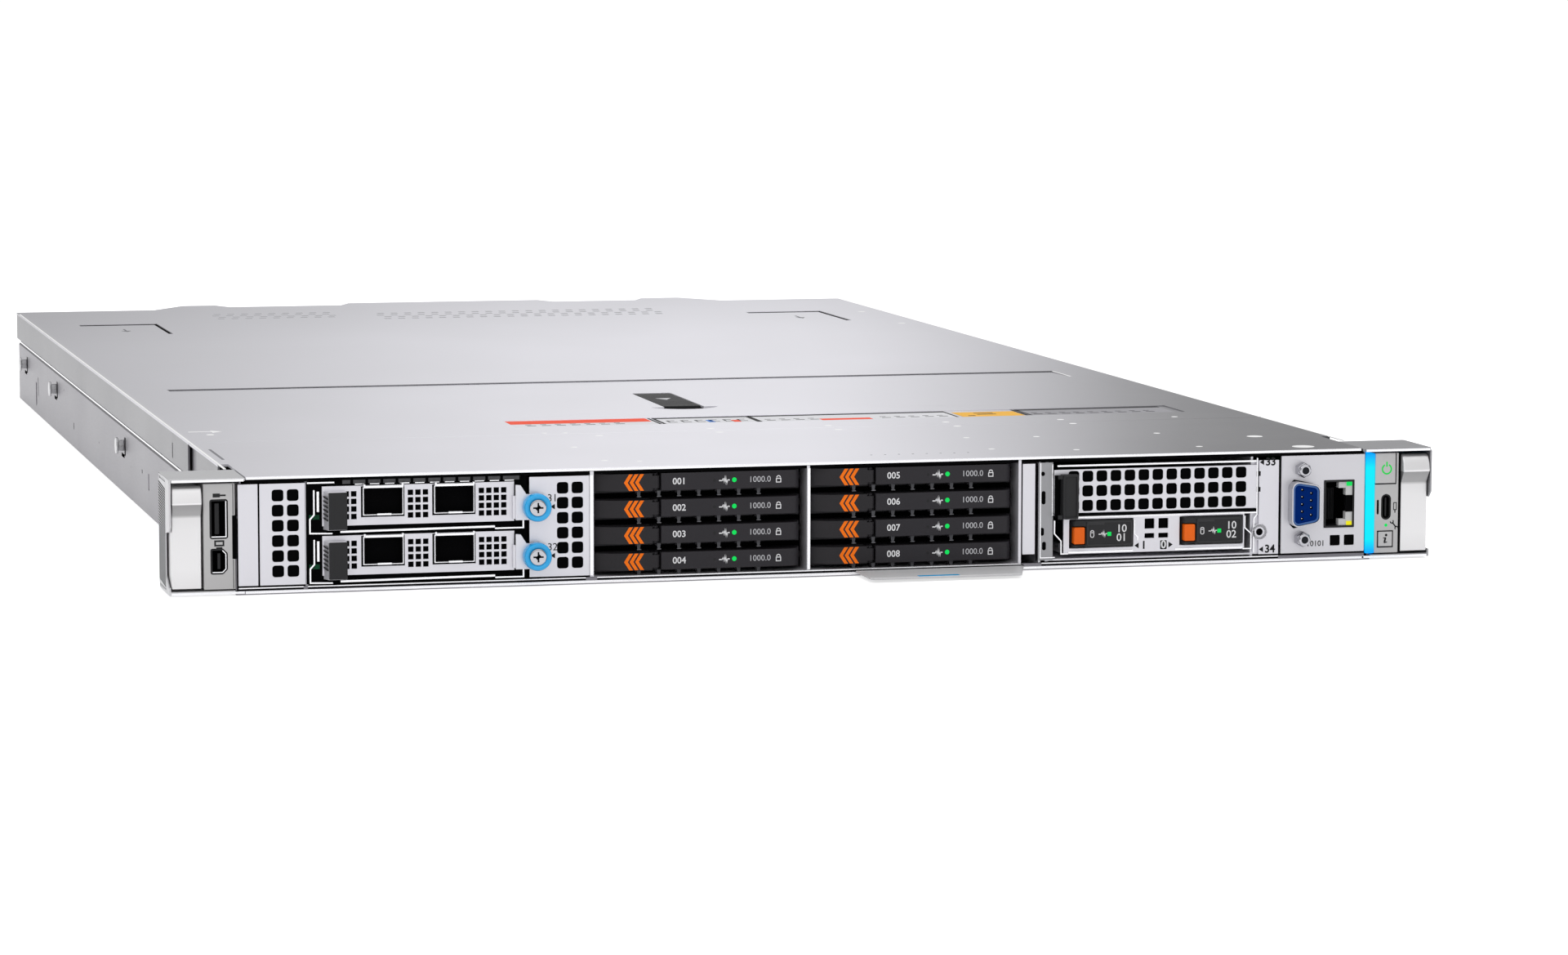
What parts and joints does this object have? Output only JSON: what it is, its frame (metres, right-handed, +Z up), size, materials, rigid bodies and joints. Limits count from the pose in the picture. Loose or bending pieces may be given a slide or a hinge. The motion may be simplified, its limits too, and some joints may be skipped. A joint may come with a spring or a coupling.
{
  "type": "rack server",
  "caption": "Low rack-mount server with a sliding cover, front drive carriers, network cards, boot sleds, lit ear panels, fans and rear power supplies.",
  "frame": {"origin": "centre of the bounding box's underside, on the base's lower face", "axes": "+X to the right seen from the front, +Y from the front panel to the rear wall, +Z up"},
  "size_m": [0.482, 0.8274, 0.0428],
  "materials": {
    "chassis_steel": "galvanised, satin",
    "cover_steel": "galvanised, satin",
    "plate_steel": "bright zinc plate",
    "ear_metal": "cast, fine satin",
    "handle_silver": "smooth satin",
    "panel_grey": "fine matt",
    "socket_metal": "nickel plate",
    "light_guide": "lit cyan",
    "stud_steel": "turned",
    "board_green": "solder mask",
    "heatsink_aluminium": "extruded",
    "module_black": "matt",
    "fan_plastic": "moulded",
    "latch_plastic": "moulded",
    "tag_grey": "satin",
    "carrier_plastic": "fine matt",
    "knob_blue": "moulded",
    "sled_plastic": "fine matt",
    "latch_orange": "moulded",
    "supply_steel": "galvanised"
  },
  "bodies": {
    "chassis": {"base_pan": "chassis_steel", "rear_panel": "chassis_steel", "front_brace": "cover_steel", "left_ear": "ear_metal", "right_ear": "ear_metal", "left_control_panel": "panel_grey", "right_control_panel": "panel_grey", "panel_sockets": "socket_metal", "light_bar": "light_guide", "front_plates": "plate_steel", "drive_cage": "plate_steel", "card_cage": "plate_steel", "riser_cage": "plate_steel", "blank_bracket": "plate_steel", "io_plate": "plate_steel", "io_connectors": "socket_metal", "rail_studs": "stud_steel", "circuit_boards": "board_green", "heatsinks": "heatsink_aluminium", "memory_modules": "module_black", "fan_housings": "fan_plastic"},
    "cover": {"top_cover": "cover_steel"},
    "cover_latch": {"cover_latch": "latch_plastic"},
    "drive_1": {"drive_1": "carrier_plastic"},
    "drive_lever_1": {"drive_lever_1": "carrier_plastic"},
    "drive_2": {"drive_2": "carrier_plastic"},
    "drive_lever_2": {"drive_lever_2": "carrier_plastic"},
    "drive_3": {"drive_3": "carrier_plastic"},
    "drive_lever_3": {"drive_lever_3": "carrier_plastic"},
    "drive_4": {"drive_4": "carrier_plastic"},
    "drive_lever_4": {"drive_lever_4": "carrier_plastic"},
    "drive_5": {"drive_5": "carrier_plastic"},
    "drive_lever_5": {"drive_lever_5": "carrier_plastic"},
    "drive_6": {"drive_6": "carrier_plastic"},
    "drive_lever_6": {"drive_lever_6": "carrier_plastic"},
    "drive_7": {"drive_7": "carrier_plastic"},
    "drive_lever_7": {"drive_lever_7": "carrier_plastic"},
    "drive_8": {"drive_8": "carrier_plastic"},
    "drive_lever_8": {"drive_lever_8": "carrier_plastic"},
    "network_card_1": {"network_card_1": "plate_steel"},
    "card_screw_1": {"card_screw_1": "knob_blue"},
    "network_card_2": {"network_card_2": "plate_steel"},
    "card_screw_2": {"card_screw_2": "knob_blue"},
    "boot_sled_1": {"boot_sled_1": "sled_plastic"},
    "sled_latch_1": {"sled_latch_1": "latch_orange"},
    "boot_sled_2": {"boot_sled_2": "sled_plastic"},
    "sled_latch_2": {"sled_latch_2": "latch_orange"},
    "power_button": {"power_button": "panel_grey"},
    "info_button": {"info_button": "panel_grey"},
    "left_handle": {"left_handle": "handle_silver"},
    "right_handle": {"right_handle": "handle_silver"},
    "info_tag": {"info_tag": "tag_grey"},
    "power_supply_1": {"power_supply_1": "supply_steel"},
    "supply_latch_1": {"supply_latch_1": "latch_orange"},
    "power_supply_2": {"power_supply_2": "supply_steel"},
    "supply_latch_2": {"supply_latch_2": "latch_orange"},
    "fan_rotor_1": {"fan_rotor_1": "fan_plastic"},
    "fan_rotor_2": {"fan_rotor_2": "fan_plastic"},
    "fan_rotor_3": {"fan_rotor_3": "fan_plastic"},
    "fan_rotor_4": {"fan_rotor_4": "fan_plastic"}
  },
  "joints": [
    {"name": "cover_slide", "type": "slide", "parent": "chassis", "child": "cover", "axis": [0, 1, 0], "range_m": [0, 0.012]},
    {"name": "cover_latch_hinge", "type": "hinge", "parent": "cover", "child": "cover_latch", "pos_m": [0, -0.11565, 0.0402], "axis": [-1, 0, 0], "range_deg": [0, 75]},
    {"name": "drive_slide_1", "type": "slide", "parent": "chassis", "child": "drive_1", "axis": [0, -1, 0], "range_m": [0, 0.11]},
    {"name": "drive_lever_hinge_1", "type": "hinge", "parent": "drive_1", "child": "drive_lever_1", "pos_m": [-0.0621, -0.39075, 0.0369], "axis": [0, 0, 1], "range_deg": [0, 50]},
    {"name": "drive_slide_2", "type": "slide", "parent": "chassis", "child": "drive_2", "axis": [0, -1, 0], "range_m": [0, 0.11]},
    {"name": "drive_lever_hinge_2", "type": "hinge", "parent": "drive_2", "child": "drive_lever_2", "pos_m": [-0.0621, -0.39075, 0.02715], "axis": [0, 0, 1], "range_deg": [0, 50]},
    {"name": "drive_slide_3", "type": "slide", "parent": "chassis", "child": "drive_3", "axis": [0, -1, 0], "range_m": [0, 0.11]},
    {"name": "drive_lever_hinge_3", "type": "hinge", "parent": "drive_3", "child": "drive_lever_3", "pos_m": [-0.0621, -0.39075, 0.0174], "axis": [0, 0, 1], "range_deg": [0, 50]},
    {"name": "drive_slide_4", "type": "slide", "parent": "chassis", "child": "drive_4", "axis": [0, -1, 0], "range_m": [0, 0.11]},
    {"name": "drive_lever_hinge_4", "type": "hinge", "parent": "drive_4", "child": "drive_lever_4", "pos_m": [-0.0621, -0.39075, 0.00765], "axis": [0, 0, 1], "range_deg": [0, 50]},
    {"name": "drive_slide_5", "type": "slide", "parent": "chassis", "child": "drive_5", "axis": [0, -1, 0], "range_m": [0, 0.11]},
    {"name": "drive_lever_hinge_5", "type": "hinge", "parent": "drive_5", "child": "drive_lever_5", "pos_m": [0.0196, -0.39075, 0.0369], "axis": [0, 0, 1], "range_deg": [0, 50]},
    {"name": "drive_slide_6", "type": "slide", "parent": "chassis", "child": "drive_6", "axis": [0, -1, 0], "range_m": [0, 0.11]},
    {"name": "drive_lever_hinge_6", "type": "hinge", "parent": "drive_6", "child": "drive_lever_6", "pos_m": [0.0196, -0.39075, 0.02715], "axis": [0, 0, 1], "range_deg": [0, 50]},
    {"name": "drive_slide_7", "type": "slide", "parent": "chassis", "child": "drive_7", "axis": [0, -1, 0], "range_m": [0, 0.11]},
    {"name": "drive_lever_hinge_7", "type": "hinge", "parent": "drive_7", "child": "drive_lever_7", "pos_m": [0.0196, -0.39075, 0.0174], "axis": [0, 0, 1], "range_deg": [0, 50]},
    {"name": "drive_slide_8", "type": "slide", "parent": "chassis", "child": "drive_8", "axis": [0, -1, 0], "range_m": [0, 0.11]},
    {"name": "drive_lever_hinge_8", "type": "hinge", "parent": "drive_8", "child": "drive_lever_8", "pos_m": [0.0196, -0.39075, 0.00765], "axis": [0, 0, 1], "range_deg": [0, 50]},
    {"name": "card_slide_1", "type": "slide", "parent": "chassis", "child": "network_card_1", "axis": [0, -1, 0], "range_m": [0, 0.07]},
    {"name": "card_screw_turn_1", "type": "hinge", "parent": "network_card_1", "child": "card_screw_1", "pos_m": [-0.1072, -0.39625, 0.0292], "axis": [0, -1, 0], "continuous": true},
    {"name": "card_slide_2", "type": "slide", "parent": "chassis", "child": "network_card_2", "axis": [0, -1, 0], "range_m": [0, 0.07]},
    {"name": "card_screw_turn_2", "type": "hinge", "parent": "network_card_2", "child": "card_screw_2", "pos_m": [-0.1072, -0.39625, 0.0112], "axis": [0, -1, 0], "continuous": true},
    {"name": "sled_slide_1", "type": "slide", "parent": "chassis", "child": "boot_sled_1", "axis": [0, -1, 0], "range_m": [0, 0.08]},
    {"name": "sled_latch_press_1", "type": "slide", "parent": "boot_sled_1", "child": "sled_latch_1", "axis": [0, 1, 0], "range_m": [0, 0.0012], "stiffness_N_per_m": 600, "springref_m": -0.001},
    {"name": "sled_slide_2", "type": "slide", "parent": "chassis", "child": "boot_sled_2", "axis": [0, -1, 0], "range_m": [0, 0.08]},
    {"name": "sled_latch_press_2", "type": "slide", "parent": "boot_sled_2", "child": "sled_latch_2", "axis": [0, 1, 0], "range_m": [0, 0.0012], "stiffness_N_per_m": 600, "springref_m": -0.001},
    {"name": "power_press", "type": "slide", "parent": "chassis", "child": "power_button", "axis": [0, 1, 0], "range_m": [0, 0.001], "stiffness_N_per_m": 800, "springref_m": -0.001},
    {"name": "info_press", "type": "slide", "parent": "chassis", "child": "info_button", "axis": [0, 1, 0], "range_m": [0, 0.001], "stiffness_N_per_m": 800, "springref_m": -0.001},
    {"name": "left_handle_hinge", "type": "hinge", "parent": "chassis", "child": "left_handle", "pos_m": [-0.2346, -0.38625, 0.0288], "axis": [-1, 0, 0], "range_deg": [0, 20], "stiffness_Nm_per_rad": 0.05, "springref_deg": -11.46},
    {"name": "right_handle_hinge", "type": "hinge", "parent": "chassis", "child": "right_handle", "pos_m": [0.2346, -0.38625, 0.0288], "axis": [-1, 0, 0], "range_deg": [0, 20], "stiffness_Nm_per_rad": 0.05, "springref_deg": -11.46},
    {"name": "info_tag_slide", "type": "slide", "parent": "chassis", "child": "info_tag", "axis": [0, -1, 0], "range_m": [0, 0.055]},
    {"name": "supply_slide_1", "type": "slide", "parent": "chassis", "child": "power_supply_1", "axis": [0, 1, 0], "range_m": [0, 0.17]},
    {"name": "supply_latch_press_1", "type": "slide", "parent": "power_supply_1", "child": "supply_latch_1", "axis": [1, 0, 0], "range_m": [0, 0.0015], "stiffness_N_per_m": 900, "springref_m": -0.001},
    {"name": "supply_slide_2", "type": "slide", "parent": "chassis", "child": "power_supply_2", "axis": [0, 1, 0], "range_m": [0, 0.17]},
    {"name": "supply_latch_press_2", "type": "slide", "parent": "power_supply_2", "child": "supply_latch_2", "axis": [1, 0, 0], "range_m": [0, 0.0015], "stiffness_N_per_m": 900, "springref_m": -0.001},
    {"name": "fan_spin_1", "type": "hinge", "parent": "chassis", "child": "fan_rotor_1", "pos_m": [-0.15, -0.22925, 0.0208], "axis": [0, 1, 0], "continuous": true},
    {"name": "fan_spin_2", "type": "hinge", "parent": "chassis", "child": "fan_rotor_2", "pos_m": [-0.05, -0.22925, 0.0208], "axis": [0, 1, 0], "continuous": true},
    {"name": "fan_spin_3", "type": "hinge", "parent": "chassis", "child": "fan_rotor_3", "pos_m": [0.05, -0.22925, 0.0208], "axis": [0, 1, 0], "continuous": true},
    {"name": "fan_spin_4", "type": "hinge", "parent": "chassis", "child": "fan_rotor_4", "pos_m": [0.15, -0.22925, 0.0208], "axis": [0, 1, 0], "continuous": true}
  ],
  "couplings": [
    {"joint": "cover_latch_hinge", "follows": "cover_slide", "rad_per_m": 109}
  ]
}
